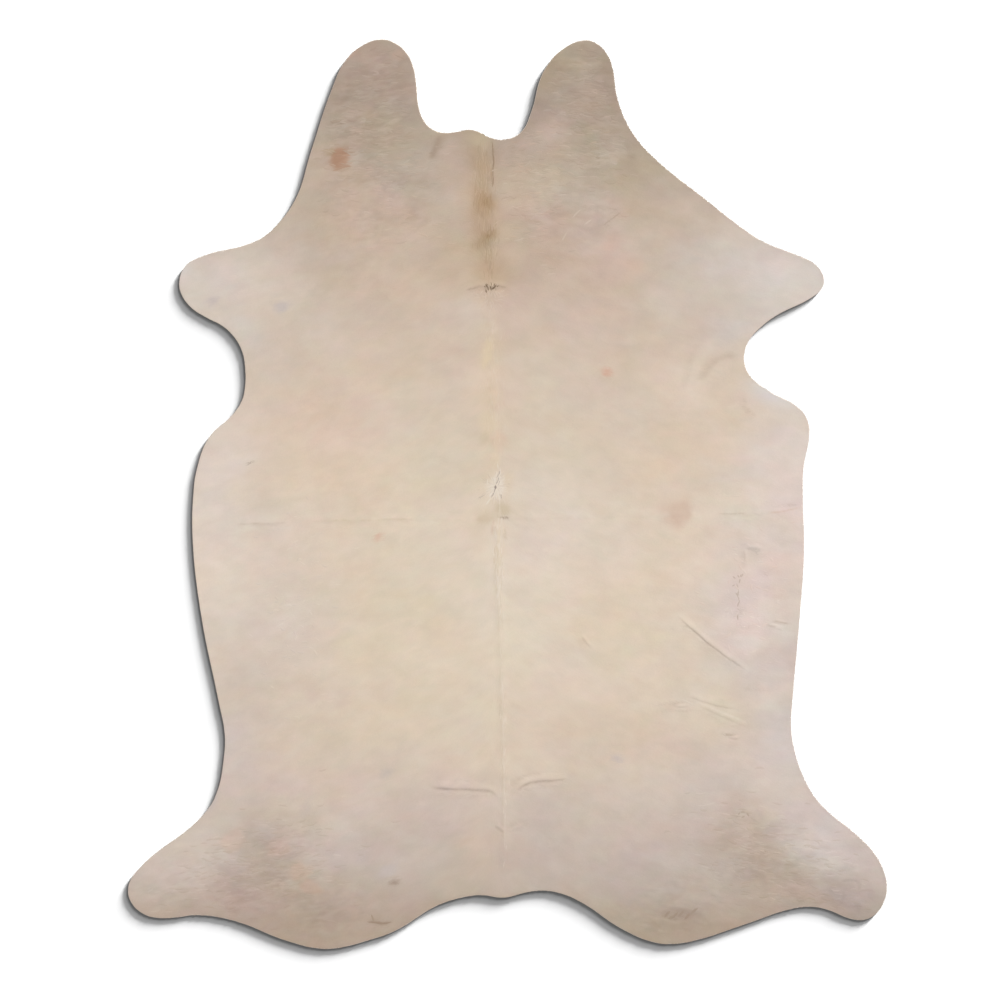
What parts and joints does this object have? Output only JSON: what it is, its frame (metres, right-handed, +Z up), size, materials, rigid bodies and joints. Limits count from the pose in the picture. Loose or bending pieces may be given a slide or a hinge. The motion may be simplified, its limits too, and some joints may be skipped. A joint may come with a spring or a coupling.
{
  "type": "hair-on cattle hide",
  "caption": "Whole flat cattle hide with short pale hair: neck lobes, foreleg lobes, flanks, hind legs and rump around one cut edge.",
  "frame": {"origin": "on the floor, under the middle of the hide's box", "axes": "+Y along the backbone from the rump to the neck, +X to the right seen from above, +Z up out of the hair side"},
  "size_m": [1.822, 2.184, 0.0077],
  "materials": {
    "hair_hide": "short flat pale cattle hair, matt with a faint sheen, taupe on the neck and hind legs; bare suede below"
  },
  "bodies": {
    "root": {"hide": "hair_hide"}
  },
  "joints": []
}
